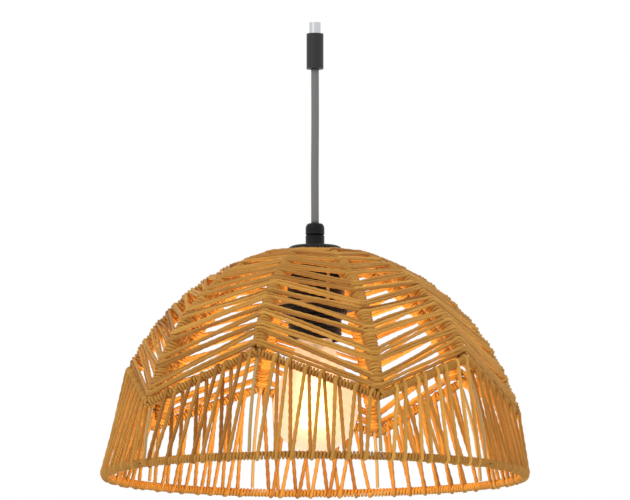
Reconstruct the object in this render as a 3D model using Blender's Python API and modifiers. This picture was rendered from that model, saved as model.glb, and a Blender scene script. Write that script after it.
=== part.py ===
# Woven paper-twine dome shade on its lampholder, hung by a short cord from the sleeve under a lamp arm.
# Metres, +Z up. The origin is the centre of the sleeve's top face, which seats against the arm.

import math

import bmesh
import bpy
from mathutils import Matrix, Vector

GAP = 0.0003  # kept between neighbouring pieces
THREAD_CLEARANCE = 0.0003  # between a plain cylinder that stands for a thread and its nut

# Cord
CORD_RADIUS = 0.00275
CORD_LENGTH = 0.110  # from the sleeve's mouth to the cord grip
CORD_CLEARANCE = 0.00035
CORD_BORE = CORD_RADIUS + CORD_CLEARANCE
CORD_JOINT_GAP = 0.0012  # lets the cord's end face tip 20 degrees in the mouth

# Arm sleeve, on a hollow threaded nipple
NIPPLE_WALL = 0.0009
NIPPLE_RADIUS = CORD_BORE + NIPPLE_WALL
NIPPLE_ABOVE = 0.008
NIPPLE_BELOW = 0.012
SLEEVE_THREAD_BORE = NIPPLE_RADIUS + THREAD_CLEARANCE
SLEEVE_WALL = 0.0017
SLEEVE_RADIUS = SLEEVE_THREAD_BORE + SLEEVE_WALL
SLEEVE_LENGTH = 0.025
GRUB_RADIUS = 0.0012
GRUB_DROP = 0.019

# Cord grip
GRIP_STEM_WALL = 0.0018
GRIP_STEM_RADIUS = CORD_BORE + GRIP_STEM_WALL
GRIP_STEM_LENGTH = 0.007
GRIP_SHOULDER = 0.00175
GRIP_RADIUS = GRIP_STEM_RADIUS + GRIP_SHOULDER
GRIP_NUT_HEIGHT = 0.0080
GRIP_BODY_HEIGHT = 0.0080
GRIP_TIP_WALL = 0.0011
GRIP_TIP_RADIUS = CORD_BORE + GRIP_TIP_WALL

# Bulb, A60 shape on an E27 cap
BULB_LENGTH = 0.108
BULB_RADIUS = 0.030
BULB_CAP_RADIUS = 0.0131
BULB_CAP_WALL = 0.0006
BULB_CAP_LENGTH = 0.0250
BULB_CAP_CLEARANCE = 0.0006
BULB_NECK_CLEARANCE = 0.0007
BULB_NECK_RADIUS = BULB_CAP_RADIUS - BULB_CAP_WALL - BULB_NECK_CLEARANCE
BULB_GLASS_WALL = 0.0008
BULB_NECK_OVERLAP = 0.006
TIP_RADIUS = 0.0045
TIP_HEIGHT = 0.0022
STEM_RADIUS = 0.0022
STEM_FOOT_CLEARANCE = 0.0015
STEM_FOOT_RADIUS = BULB_NECK_RADIUS - BULB_GLASS_WALL - STEM_FOOT_CLEARANCE
STEM_LENGTH = 0.030
FILAMENT_RADIUS = 0.0009
FILAMENT_LEGS = 6
FILAMENT_LENGTH = 0.038
FILAMENT_CAGE_TOP = 0.0062
FILAMENT_CAGE_BOTTOM = 0.0095
FILAMENT_RISE = 0.006  # of the cage's middle above the bulb's widest point

# Lampholder, built outwards from the bulb's cap
SHELL_WALL = 0.0006
SHELL_RADIUS = BULB_CAP_RADIUS + BULB_CAP_CLEARANCE + SHELL_WALL
SHELL_CLEARANCE = 0.0015
HOLDER_BORE = SHELL_RADIUS + SHELL_CLEARANCE
SKIRT_WALL = 0.0032
SKIRT_RADIUS = HOLDER_BORE + SKIRT_WALL
SKIRT_LENGTH = 0.0265
BODY_STEP = 0.0005
HOLDER_RADIUS = SKIRT_RADIUS + BODY_STEP
HOLDER_WALL = 0.002
HOLDER_STANDS_PROUD = 0.0045  # of the shade's top
HOLDER_TO_SHOULDER = 0.0405
CAP_HEIGHT = 0.022
CAP_EDGE = 0.004
NECK_TOP = 0.010
SHOULDER_THICKNESS = 0.002
INSULATOR_DROP = 0.018
INSULATOR_THICKNESS = 0.016
TERMINAL_SPACING = 0.015
TERMINAL_HOLE = 0.0016
TERMINAL_HOLE_DEPTH = 0.007
TERMINAL_HEAD_RADIUS = 0.0026
TERMINAL_HEAD_HEIGHT = 0.0018
CONTACT_WIDTH = 0.005
CONTACT_THICKNESS = 0.0006
CONTACT_DROP = 0.0040

# Fitter ring that the shade hangs by, and the shade ring that clamps it
FITTER_CLEARANCE = 0.0015
FITTER_BORE = SKIRT_RADIUS + FITTER_CLEARANCE
FITTER_WIDTH = 0.0065
FITTER_RADIUS = FITTER_BORE + FITTER_WIDTH
FITTER_THICKNESS = 0.002
SHOULDER_SEAT = 0.0025  # how far the shoulder lies over the fitter ring
SHOULDER_RADIUS = FITTER_BORE + SHOULDER_SEAT
SEAT_GAP = 0.0005
RING_CLEARANCE = 0.0004
RING_BORE = SKIRT_RADIUS + RING_CLEARANCE
RING_FLANGE_REACH = 0.001
RING_FLANGE_RADIUS = FITTER_RADIUS + RING_FLANGE_REACH
RING_FLANGE_THICKNESS = 0.002
RING_COLLAR_WALL = 0.0031
RING_COLLAR_RADIUS = RING_BORE + RING_COLLAR_WALL
RING_COLLAR_HEIGHT = 0.003
STRUT_COUNT = 3

# Shade
SHADE_RADIUS = 0.150
SHADE_HEIGHT = 0.160
CROWN_RISE = 0.002  # how far the dome's curve would close above the top ring
DOME_HEIGHT_POWER = 1.85
DOME_RADIUS_POWER = 2.15
RIB_COUNT = 10
FIRST_RIB_DEG = 18.0
WIRE_RADIUS = 0.00125
RIM_WRAPPED_RADIUS = 0.003
TOP_RING_REACH = 0.004  # from the fitter ring's edge out to the top ring
TOP_RING_RADIUS = FITTER_RADIUS + TOP_RING_REACH
TOP_WRAPPED_RADIUS = 0.00275
TWINE_DIAMETER = 0.0028
WEAVE_THICKNESS = 0.0023
ZIGZAG_PEAK = 0.077
ZIGZAG_VALLEY = 0.045
ZIGZAG_CLEARANCE = 0.00095  # beside the slanting wire, measured up or down
RIB_POINTS = 13
UPPER_ROWS = 9
LOWER_COLUMNS = 6

TURNED_STEPS = 40
GLASS_STEPS = 32
SMALL_STEPS = 24
SCREW_STEPS = 16
RIM_STEPS = 60

# Heights that follow from the sizes above
SLEEVE_MOUTH_Z = -SLEEVE_LENGTH
GRIP_TOP_Z = SLEEVE_MOUTH_Z - CORD_LENGTH
HOLDER_TOP_Z = GRIP_TOP_Z - GRIP_NUT_HEIGHT - GRIP_BODY_HEIGHT
SHADE_TOP_Z = HOLDER_TOP_Z - HOLDER_STANDS_PROUD
SHADE_RIM_Z = SHADE_TOP_Z - SHADE_HEIGHT
SHOULDER_BOTTOM_Z = HOLDER_TOP_Z - HOLDER_TO_SHOULDER
FITTER_TOP_Z = SHOULDER_BOTTOM_Z - SEAT_GAP
FITTER_BOTTOM_Z = FITTER_TOP_Z - FITTER_THICKNESS
RING_TOP_Z = FITTER_BOTTOM_Z - SEAT_GAP
SKIRT_BOTTOM_Z = SHOULDER_BOTTOM_Z - SKIRT_LENGTH
INSULATOR_TOP_Z = HOLDER_TOP_Z - INSULATOR_DROP
INSULATOR_BOTTOM_Z = INSULATOR_TOP_Z - INSULATOR_THICKNESS
TIP_TOP_Z = INSULATOR_BOTTOM_Z - GAP - CONTACT_DROP - GAP
BULB_CAP_TOP_Z = TIP_TOP_Z - TIP_HEIGHT - GAP
BULB_CAP_BOTTOM_Z = BULB_CAP_TOP_Z - BULB_CAP_LENGTH
BULB_BOTTOM_Z = TIP_TOP_Z - BULB_LENGTH
BULB_EQUATOR_Z = BULB_BOTTOM_Z + BULB_RADIUS
GLASS_TOP_Z = BULB_CAP_BOTTOM_Z + BULB_NECK_OVERLAP
FILAMENT_TOP_Z = BULB_EQUATOR_Z + FILAMENT_RISE + FILAMENT_LENGTH / 2
CROWN_HEIGHT = SHADE_HEIGHT + CROWN_RISE
HALF_PANEL = math.pi / RIB_COUNT

for old in list(bpy.data.objects):
    bpy.data.objects.remove(old, do_unlink=True)

shade_parts = bpy.data.collections.new("woven_dome_shade")
cutter_parts = bpy.data.collections.new("cutters")
bpy.context.scene.collection.children.link(shade_parts)
bpy.context.scene.collection.children.link(cutter_parts)
cutter_parts.hide_render = True


def make_material(name, colour, roughness, metallic=0.0):
    made = bpy.data.materials.new(name)
    made.use_nodes = True
    shader = made.node_tree.nodes["Principled BSDF"]
    shader.inputs["Base Color"].default_value = (*colour, 1.0)
    shader.inputs["Roughness"].default_value = roughness
    shader.inputs["Metallic"].default_value = metallic
    made.diffuse_color = (*colour, 1.0)
    return made


twine = make_material("paper_twine", (0.50, 0.22, 0.055), 0.8)
frame_paint = make_material("khaki_frame_paint", (0.28, 0.18, 0.05), 0.5)
black_plastic = make_material("black_thermoplastic", (0.012, 0.012, 0.012), 0.4)
black_paint = make_material("black_powder_coat", (0.010, 0.010, 0.010), 0.5)
grey_cable = make_material("grey_cable_sheath", (0.14, 0.14, 0.14), 0.6)
zinc_steel = make_material("zinc_plated_steel", (0.60, 0.60, 0.58), 0.35, 1.0)
brass = make_material("brass_strip", (0.75, 0.52, 0.22), 0.3, 1.0)
nickel = make_material("nickel_plated_brass", (0.66, 0.62, 0.55), 0.3, 1.0)
solder = make_material("solder", (0.55, 0.55, 0.56), 0.5, 1.0)
ceramic = make_material("steatite", (0.75, 0.72, 0.65), 0.5)
clear_glass = make_material("bulb_glass", (0.95, 0.93, 0.90), 0.05)
filament_wax = make_material("filament_phosphor", (0.95, 0.55, 0.12), 0.6)


def add_pivot(name, height, parent=None):
    # An empty on a joint's axis. It carries the pieces of one moving body.
    pivot = bpy.data.objects.new(name, None)
    pivot.empty_display_size = 0.01
    pivot.location = (0.0, 0.0, height)
    shade_parts.objects.link(pivot)
    if parent:
        hang_on(pivot, parent)
    return pivot


def hang_on(piece, pivot):
    # Parents a piece without moving it, so that its location stays in world terms.
    piece.parent = pivot
    piece.matrix_parent_inverse = Matrix.Translation(pivot.location).inverted()


def add_piece(name, data, finish, pivot):
    data.materials.append(finish)
    piece = bpy.data.objects.new(name, data)
    shade_parts.objects.link(piece)
    hang_on(piece, pivot)
    return piece


def turned(name, profile, finish, pivot, steps=TURNED_STEPS, closed=False):
    # profile runs down the outer side as (radius, height). An open one starts and ends on the axis.
    edges = [(i, i + 1) for i in range(len(profile) - 1)]
    if closed:
        edges.append((len(profile) - 1, 0))
    mesh = bpy.data.meshes.new(name)
    mesh.from_pydata([(radius, 0.0, height) for radius, height in profile], edges, [])
    piece = add_piece(name, mesh, finish, pivot)
    screw = piece.modifiers.new("turn", "SCREW")
    screw.steps = steps
    screw.render_steps = steps
    screw.use_merge_vertices = True
    screw.merge_threshold = 0.00001
    screw.use_smooth_shade = True
    return piece


def tube(name, outer, bore, top, bottom, finish, pivot):
    profile = [(outer, top), (outer, bottom), (bore, bottom), (bore, top)]
    return turned(name, profile, finish, pivot, closed=True)


def wire(name, points, radius, finish, pivot, cyclic=False):
    curve = bpy.data.curves.new(name, "CURVE")
    curve.dimensions = "3D"
    curve.bevel_depth = radius
    curve.bevel_resolution = 2
    curve.use_fill_caps = True
    spline = curve.splines.new("POLY")
    spline.points.add(len(points) - 1)
    for target, point in zip(spline.points, points):
        target.co = (*point, 1.0)
    spline.use_cyclic_u = cyclic
    return add_piece(name, curve, finish, pivot)


def wrapped_ring(name, ring_radius, section_radius, height, finish, pivot, steps):
    bpy.ops.mesh.primitive_torus_add(
        major_radius=ring_radius,
        minor_radius=section_radius,
        major_segments=steps,
        minor_segments=8,
        location=(0.0, 0.0, height),
    )
    ring = bpy.context.object
    ring.name = name
    ring.data.name = name
    ring.data.materials.append(finish)
    ring.data.shade_smooth()
    for owner in list(ring.users_collection):
        owner.objects.unlink(ring)
    shade_parts.objects.link(ring)
    hang_on(ring, pivot)
    return ring


def sheet_panel(name, rows, finish, pivot):
    # rows of points from the top edge down, seen from outside with the first column on the left.
    mesh = bpy.data.meshes.new(name)
    columns = len(rows[0])
    faces = []
    for i in range(len(rows) - 1):
        for j in range(columns - 1):
            first = i * columns + j
            faces.append((first, first + columns, first + columns + 1, first + 1))
    mesh.from_pydata([point for row in rows for point in row], [], faces)
    mesh.shade_smooth()
    panel = add_piece(name, mesh, finish, pivot)
    solidify = panel.modifiers.new("thickness", "SOLIDIFY")
    solidify.thickness = WEAVE_THICKNESS
    solidify.offset = -1.0
    return panel


def cylinder_mesh(name, radius, length):
    mesh = bpy.data.meshes.new(name)
    shape = bmesh.new()
    bmesh.ops.create_cone(
        shape,
        cap_ends=True,
        segments=SCREW_STEPS,
        radius1=radius,
        radius2=radius,
        depth=length,
    )
    shape.to_mesh(mesh)
    shape.free()
    return mesh


def add_cutter(name, radius, length, centre, along_y=False):
    cutter = bpy.data.objects.new(name, cylinder_mesh(name, radius, length))
    cutter.location = centre
    if along_y:
        cutter.rotation_euler = (math.pi / 2, 0.0, 0.0)
    cutter.hide_render = True
    cutter.display_type = "WIRE"
    cutter_parts.objects.link(cutter)
    return cutter


def cut(piece, cutter):
    boolean = piece.modifiers.new("cut " + cutter.name, "BOOLEAN")
    boolean.operation = "DIFFERENCE"
    boolean.solver = "EXACT"
    boolean.object = cutter


def around(radius, azimuth, height):
    # Azimuth 0 faces -Y, and it grows towards +X.
    return Vector((radius * math.sin(azimuth), -radius * math.cos(azimuth), height))


def dome_point(slope, inset=0.0):
    # (radius, height above the rim) on the dome's outline. slope is 0 at the rim and a right angle
    # at the crown, and inset is measured square to the outline.
    radius = SHADE_RADIUS * math.cos(slope) ** (2 / DOME_RADIUS_POWER)
    height = CROWN_HEIGHT * math.sin(slope) ** (2 / DOME_HEIGHT_POWER)
    out = DOME_RADIUS_POWER * (radius / SHADE_RADIUS) ** (DOME_RADIUS_POWER - 1) / SHADE_RADIUS
    up = DOME_HEIGHT_POWER * (height / CROWN_HEIGHT) ** (DOME_HEIGHT_POWER - 1) / CROWN_HEIGHT
    size = math.hypot(out, up)
    return radius - inset * out / size, height - inset * up / size


def slope_where(wanted, coordinate, inset=0.0):
    # The slope at which the outline's radius (0) or height (1) is the wanted one, by halving.
    low, high = 0.001, math.pi / 2 - 0.001
    for _ in range(40):
        middle = (low + high) / 2
        value = dome_point(middle, inset)[coordinate]
        below = value > wanted if coordinate == 0 else value < wanted
        low, high = (middle, high) if below else (low, middle)
    return (low + high) / 2


arm_fitting = add_pivot("arm_fitting", 0.0)
cord_pivot = add_pivot("cord_pivot", SLEEVE_MOUTH_Z, arm_fitting)
holder_pivot = add_pivot("holder_pivot", GRIP_TOP_Z, cord_pivot)
shade_slide = add_pivot("shade_slide", SHADE_TOP_Z, holder_pivot)
ring_axis = add_pivot("ring_axis", RING_TOP_Z, shade_slide)
bulb_slide = add_pivot("bulb_slide", TIP_TOP_Z, holder_pivot)
bulb_axis = add_pivot("bulb_axis", BULB_CAP_TOP_Z, bulb_slide)


def build_arm_fitting():
    seat = -NIPPLE_BELOW - GAP
    sleeve = turned(
        "arm_sleeve",
        [
            (SLEEVE_RADIUS, 0.0),
            (SLEEVE_RADIUS, SLEEVE_MOUTH_Z),
            (CORD_BORE, SLEEVE_MOUTH_Z),
            (CORD_BORE, seat),
            (SLEEVE_THREAD_BORE, seat),
            (SLEEVE_THREAD_BORE, 0.0),
        ],
        black_paint,
        arm_fitting,
        closed=True,
    )
    grub_length = SLEEVE_RADIUS - CORD_RADIUS - 2 * GAP
    grub_middle = SLEEVE_RADIUS - GAP - grub_length / 2
    hole = add_cutter(
        "grub_screw_hole",
        GRUB_RADIUS + THREAD_CLEARANCE,
        grub_length * 2,
        (0.0, SLEEVE_RADIUS - GAP, -GRUB_DROP),
        along_y=True,
    )
    cut(sleeve, hole)
    tube(
        "arm_nipple", NIPPLE_RADIUS, CORD_BORE, NIPPLE_ABOVE, -NIPPLE_BELOW, zinc_steel, arm_fitting
    )
    mesh = cylinder_mesh("sleeve_grub_screw", GRUB_RADIUS, grub_length)
    grub = add_piece("sleeve_grub_screw", mesh, zinc_steel, arm_fitting)
    grub.location = (0.0, grub_middle, -GRUB_DROP)
    grub.rotation_euler = (math.pi / 2, 0.0, 0.0)
    upright_cord(
        "arm_cord", NIPPLE_ABOVE - CORD_JOINT_GAP, SLEEVE_MOUTH_Z + CORD_JOINT_GAP, arm_fitting
    )


def upright_cord(name, top, bottom, pivot):
    spacing = 5 * CORD_RADIUS
    count = max(2, round((top - bottom) / spacing) + 1)
    points = [(0.0, 0.0, top + (bottom - top) * i / (count - 1)) for i in range(count)]
    return wire(name, points, CORD_RADIUS, grey_cable, pivot)


def build_cord_grip():
    nut_bottom = GRIP_TOP_Z - GRIP_NUT_HEIGHT
    body_top = nut_bottom - GAP
    taper = GRIP_NUT_HEIGHT / 2
    turned(
        "cord_grip_nut",
        [
            (GRIP_TIP_RADIUS, GRIP_TOP_Z),
            (GRIP_RADIUS, GRIP_TOP_Z - taper),
            (GRIP_RADIUS, nut_bottom),
            (CORD_BORE, nut_bottom),
            (CORD_BORE, GRIP_TOP_Z),
        ],
        black_plastic,
        holder_pivot,
        closed=True,
    )
    turned(
        "cord_grip_body",
        [
            (GRIP_RADIUS, body_top),
            (GRIP_RADIUS, HOLDER_TOP_Z + GAP),
            (GRIP_STEM_RADIUS, HOLDER_TOP_Z + GAP),
            (GRIP_STEM_RADIUS, HOLDER_TOP_Z - GRIP_STEM_LENGTH),
            (CORD_BORE, HOLDER_TOP_Z - GRIP_STEM_LENGTH),
            (CORD_BORE, body_top),
        ],
        black_plastic,
        holder_pivot,
        closed=True,
    )
    tail = HOLDER_TOP_Z - GRIP_STEM_LENGTH - CORD_RADIUS
    upright_cord("holder_cord", GRIP_TOP_Z - CORD_JOINT_GAP, tail, holder_pivot)


def build_lampholder():
    cap_bottom = HOLDER_TOP_Z - CAP_HEIGHT
    roof = HOLDER_TOP_Z - HOLDER_WALL
    inner = HOLDER_RADIUS - HOLDER_WALL
    turned(
        "holder_cap",
        [
            (GRIP_STEM_RADIUS + THREAD_CLEARANCE, HOLDER_TOP_Z),
            (HOLDER_RADIUS - CAP_EDGE, HOLDER_TOP_Z),
            (HOLDER_RADIUS - CAP_EDGE * 0.3, HOLDER_TOP_Z - CAP_EDGE * 0.3),
            (HOLDER_RADIUS, HOLDER_TOP_Z - CAP_EDGE),
            (HOLDER_RADIUS, cap_bottom),
            (inner, cap_bottom),
            (inner, roof - CAP_EDGE),
            (inner - CAP_EDGE, roof),
            (GRIP_STEM_RADIUS + THREAD_CLEARANCE, roof),
        ],
        black_plastic,
        holder_pivot,
        closed=True,
    )
    turned(
        "holder_body",
        [
            (inner - THREAD_CLEARANCE, HOLDER_TOP_Z - NECK_TOP),
            (inner - THREAD_CLEARANCE, cap_bottom - GAP),
            (HOLDER_RADIUS, cap_bottom - GAP),
            (HOLDER_RADIUS, SHOULDER_BOTTOM_Z + SHOULDER_THICKNESS),
            (SHOULDER_RADIUS, SHOULDER_BOTTOM_Z + SHOULDER_THICKNESS),
            (SHOULDER_RADIUS, SHOULDER_BOTTOM_Z),
            (SKIRT_RADIUS, SHOULDER_BOTTOM_Z),
            (SKIRT_RADIUS, SKIRT_BOTTOM_Z),
            (HOLDER_BORE, SKIRT_BOTTOM_Z),
            (HOLDER_BORE, HOLDER_TOP_Z - NECK_TOP),
        ],
        black_plastic,
        holder_pivot,
        closed=True,
    )
    insulator = turned(
        "holder_insulator",
        [
            (0.0, INSULATOR_TOP_Z),
            (HOLDER_BORE - GAP, INSULATOR_TOP_Z),
            (HOLDER_BORE - GAP, INSULATOR_BOTTOM_Z),
            (0.0, INSULATOR_BOTTOM_Z),
        ],
        ceramic,
        holder_pivot,
    )
    for number, side in enumerate((-1, 1), 1):
        x = side * TERMINAL_SPACING / 2
        hole = add_cutter(
            f"terminal_hole_{number}", TERMINAL_HOLE, 2 * TERMINAL_HOLE_DEPTH, (x, 0.0, INSULATOR_TOP_Z)
        )
        cut(insulator, hole)
        head_bottom = INSULATOR_TOP_Z + GAP
        screw = turned(
            f"terminal_screw_{number}",
            [
                (0.0, head_bottom + TERMINAL_HEAD_HEIGHT),
                (TERMINAL_HEAD_RADIUS, head_bottom + TERMINAL_HEAD_HEIGHT),
                (TERMINAL_HEAD_RADIUS, head_bottom),
                (TERMINAL_HOLE - THREAD_CLEARANCE, head_bottom),
                (TERMINAL_HOLE - THREAD_CLEARANCE, INSULATOR_TOP_Z - TERMINAL_HOLE_DEPTH + GAP),
                (0.0, INSULATOR_TOP_Z - TERMINAL_HOLE_DEPTH + GAP),
            ],
            brass,
            holder_pivot,
            steps=SCREW_STEPS,
        )
        screw.location.x = x
    tube(
        "screw_shell",
        SHELL_RADIUS,
        SHELL_RADIUS - SHELL_WALL,
        INSULATOR_BOTTOM_Z - GAP,
        SKIRT_BOTTOM_Z + HOLDER_WALL,
        brass,
        holder_pivot,
    )
    build_centre_contact()


def build_centre_contact():
    # A sprung strip: flat on the insulator, then bent down and back under the bulb's tip.
    top = INSULATOR_BOTTOM_Z - GAP
    reach = TIP_RADIUS + CONTACT_WIDTH / 2
    line = [
        (reach, top),
        (-reach * 0.6, top),
        (-reach, top - CONTACT_DROP * 0.35),
        (-reach * 0.6, top - CONTACT_DROP + CONTACT_THICKNESS),
        (reach * 0.5, top - CONTACT_DROP + CONTACT_THICKNESS),
    ]
    mesh = bpy.data.meshes.new("centre_contact")
    near = [(x, -CONTACT_WIDTH / 2, z) for x, z in line]
    far = [(x, CONTACT_WIDTH / 2, z) for x, z in line]
    count = len(line)
    faces = [(i, i + 1, count + i + 1, count + i) for i in range(count - 1)]
    mesh.from_pydata(near + far, [], faces)
    strip = add_piece("centre_contact", mesh, brass, holder_pivot)
    solidify = strip.modifiers.new("thickness", "SOLIDIFY")
    solidify.thickness = CONTACT_THICKNESS
    solidify.offset = 1.0


def build_bulb():
    turned(
        "bulb_tip",
        [
            (0.0, TIP_TOP_Z),
            (TIP_RADIUS * 0.7, TIP_TOP_Z - TIP_HEIGHT * 0.15),
            (TIP_RADIUS, TIP_TOP_Z - TIP_HEIGHT * 0.6),
            (TIP_RADIUS, TIP_TOP_Z - TIP_HEIGHT),
            (0.0, TIP_TOP_Z - TIP_HEIGHT),
        ],
        solder,
        bulb_slide,
        steps=SMALL_STEPS,
    )
    crown = BULB_CAP_TOP_Z - BULB_CAP_RADIUS * 0.35
    turned(
        "bulb_cap",
        [
            (0.0, BULB_CAP_TOP_Z),
            (BULB_CAP_RADIUS * 0.45, BULB_CAP_TOP_Z),
            (BULB_CAP_RADIUS, crown),
            (BULB_CAP_RADIUS, BULB_CAP_BOTTOM_Z),
            (BULB_CAP_RADIUS - BULB_CAP_WALL, BULB_CAP_BOTTOM_Z),
            (BULB_CAP_RADIUS - BULB_CAP_WALL, crown - BULB_CAP_WALL),
            (BULB_CAP_RADIUS * 0.45, BULB_CAP_TOP_Z - BULB_CAP_WALL),
            (0.0, BULB_CAP_TOP_Z - BULB_CAP_WALL),
        ],
        nickel,
        bulb_axis,
    )
    outer = bulb_outline(0.0)
    inner = bulb_outline(BULB_GLASS_WALL)
    turned("bulb_glass", inner[::-1] + outer, clear_glass, bulb_axis, steps=GLASS_STEPS)
    foot = BULB_CAP_BOTTOM_Z
    turned(
        "bulb_stem",
        [
            (0.0, foot),
            (STEM_FOOT_RADIUS, foot),
            (STEM_FOOT_RADIUS * 0.75, foot - STEM_LENGTH * 0.12),
            (STEM_RADIUS * 1.5, foot - STEM_LENGTH * 0.45),
            (STEM_RADIUS, foot - STEM_LENGTH),
            (0.0, foot - STEM_LENGTH),
        ],
        clear_glass,
        bulb_axis,
        steps=SMALL_STEPS,
    )
    points = []
    for leg in range(FILAMENT_LEGS + 1):
        high = leg % 2 == 0
        reach = FILAMENT_CAGE_TOP if high else FILAMENT_CAGE_BOTTOM
        turn = leg * 2 * math.pi / (FILAMENT_LEGS + 1)
        height = FILAMENT_TOP_Z if high else FILAMENT_TOP_Z - FILAMENT_LENGTH
        points.append(around(reach, turn, height))
    wire("bulb_filament", points, FILAMENT_RADIUS, filament_wax, bulb_axis)


def bulb_outline(inset):
    # From the open neck down to the axis at the bottom: a flare that meets a half sphere.
    neck = BULB_NECK_RADIUS - inset
    widest = BULB_RADIUS - inset
    points = [(neck, GLASS_TOP_Z)]
    flare_top = BULB_CAP_BOTTOM_Z
    for i in range(7):
        share = i / 6
        radius = neck + (widest - neck) * math.sin(share * math.pi / 2) ** 1.4
        points.append((radius, flare_top + (BULB_EQUATOR_Z - flare_top) * share))
    for i in range(1, 5):
        angle = i * math.pi / 10
        points.append((widest * math.cos(angle), BULB_EQUATOR_Z - widest * math.sin(angle)))
    points.append((0.0, BULB_EQUATOR_Z - widest))
    return points


def build_shade_ring():
    flange_bottom = RING_TOP_Z - RING_FLANGE_THICKNESS
    turned(
        "shade_ring",
        [
            (RING_FLANGE_RADIUS, RING_TOP_Z),
            (RING_FLANGE_RADIUS, flange_bottom),
            (RING_COLLAR_RADIUS, flange_bottom),
            (RING_COLLAR_RADIUS, flange_bottom - RING_COLLAR_HEIGHT),
            (RING_BORE, flange_bottom - RING_COLLAR_HEIGHT),
            (RING_BORE, RING_TOP_Z),
        ],
        black_plastic,
        ring_axis,
        closed=True,
    )


def build_frame():
    rim_ring_radius = SHADE_RADIUS - RIM_WRAPPED_RADIUS
    rim_z = SHADE_RIM_Z + RIM_WRAPPED_RADIUS
    wrapped_ring("rim_ring", rim_ring_radius, RIM_WRAPPED_RADIUS, rim_z, twine, shade_slide, RIM_STEPS)
    top_z = SHADE_TOP_Z - TOP_WRAPPED_RADIUS
    wrapped_ring(
        "top_ring", TOP_RING_RADIUS, TOP_WRAPPED_RADIUS, top_z, twine, shade_slide, TURNED_STEPS
    )
    tube(
        "fitter_ring",
        FITTER_RADIUS,
        FITTER_BORE,
        FITTER_TOP_Z,
        FITTER_BOTTOM_Z,
        frame_paint,
        shade_slide,
    )
    strut_top = top_z - TOP_WRAPPED_RADIUS - GAP
    strut_foot = FITTER_RADIUS + GAP + WIRE_RADIUS
    for number in range(STRUT_COUNT):
        azimuth = rib_azimuth(0) + number * 2 * math.pi / STRUT_COUNT
        ends = [around(TOP_RING_RADIUS, azimuth, strut_top), around(strut_foot, azimuth, FITTER_BOTTOM_Z)]
        wire(f"fitter_strut_{number + 1}", ends, WIRE_RADIUS, frame_paint, shade_slide)
    build_ribs()
    build_zigzag()


def rib_azimuth(number):
    return math.radians(FIRST_RIB_DEG) + number * 2 * HALF_PANEL


def rib_inset():
    return TWINE_DIAMETER + WIRE_RADIUS


def build_ribs():
    inset = rib_inset()
    low = slope_where(2 * RIM_WRAPPED_RADIUS + GAP, 1, inset)
    high = slope_where(TOP_RING_RADIUS + TOP_WRAPPED_RADIUS + GAP, 0, inset)
    for number in range(RIB_COUNT):
        points = []
        for i in range(RIB_POINTS):
            radius, height = dome_point(low + (high - low) * i / (RIB_POINTS - 1), inset)
            points.append(around(radius, rib_azimuth(number), SHADE_RIM_Z + height))
        wire(f"rib_{number + 1:02d}", points, WIRE_RADIUS, frame_paint, shade_slide)


def zigzag_height(number):
    return ZIGZAG_VALLEY if number % 2 == 0 else ZIGZAG_PEAK


def build_zigzag():
    # One bent wire that runs outside the ribs, down on one rib and up on the next.
    stand_off = (2 * WIRE_RADIUS + GAP) / math.cos(HALF_PANEL)
    points = []
    for number in range(RIB_COUNT):
        slope = slope_where(zigzag_height(number), 1)
        radius, height = dome_point(slope, rib_inset() - stand_off)
        points.append(around(radius, rib_azimuth(number), SHADE_RIM_Z + height))
    wire("zigzag_wire", points, WIRE_RADIUS, frame_paint, shade_slide, cyclic=True)


def edge_point(number, side, inset, slope):
    # A point of a panel's edge: on the outline at a rib, and moved sideways clear of it.
    along = around(1.0, rib_azimuth(number) + math.pi / 2, 0.0) * (side * inset)
    radius, height = dome_point(slope)
    return around(radius, rib_azimuth(number), SHADE_RIM_Z + height) + along


def build_upper_weave():
    edge_inset = WEAVE_THICKNESS * math.tan(HALF_PANEL) + GAP / 2
    ring_edge = TOP_RING_RADIUS + TOP_WRAPPED_RADIUS + GAP + WEAVE_THICKNESS / 2
    high = slope_where(ring_edge / math.cos(HALF_PANEL), 0)
    above_wire = WIRE_RADIUS + ZIGZAG_CLEARANCE
    for number in range(RIB_COUNT):
        after = (number + 1) % RIB_COUNT
        low = slope_where(zigzag_height(number) + above_wire, 1)
        low_after = slope_where(zigzag_height(after) + above_wire, 1)
        rows = []
        for i in range(UPPER_ROWS):
            share = i / (UPPER_ROWS - 1)
            left = edge_point(number, 1, edge_inset, high + (low - high) * share)
            right = edge_point(after, -1, edge_inset, high + (low_after - high) * share)
            rows.append((left, right))
        sheet_panel(f"upper_weave_{number + 1:02d}", rows, twine, shade_slide)


def build_lower_weave():
    edge_inset = WIRE_RADIUS + GAP + WEAVE_THICKNESS * math.tan(HALF_PANEL) + GAP
    foot_radius = SHADE_RADIUS - GAP
    foot_z = SHADE_RIM_Z + 2 * RIM_WRAPPED_RADIUS + GAP + WEAVE_THICKNESS / 3
    for number in range(RIB_COUNT):
        after = (number + 1) % RIB_COUNT
        corners = []
        for rib, side in ((number, 1), (after, -1)):
            slope = slope_where(zigzag_height(rib) - WIRE_RADIUS - ZIGZAG_CLEARANCE, 1)
            corners.append(edge_point(rib, side, edge_inset, slope))
        left, right = corners
        turn = math.asin(edge_inset / foot_radius)
        start = rib_azimuth(number) + turn
        span = 2 * HALF_PANEL - 2 * turn
        top = [left.lerp(right, i / LOWER_COLUMNS) for i in range(LOWER_COLUMNS + 1)]
        foot = [
            around(foot_radius, start + span * i / LOWER_COLUMNS, foot_z)
            for i in range(LOWER_COLUMNS + 1)
        ]
        sheet_panel(f"lower_weave_{number + 1:02d}", [top, foot], twine, shade_slide)


build_arm_fitting()
upright_cord("pendant_cord", SLEEVE_MOUTH_Z, GRIP_TOP_Z, cord_pivot)
build_cord_grip()
build_lampholder()
build_shade_ring()
build_bulb()
build_frame()
build_upper_weave()
build_lower_weave()
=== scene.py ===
import math

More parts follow.
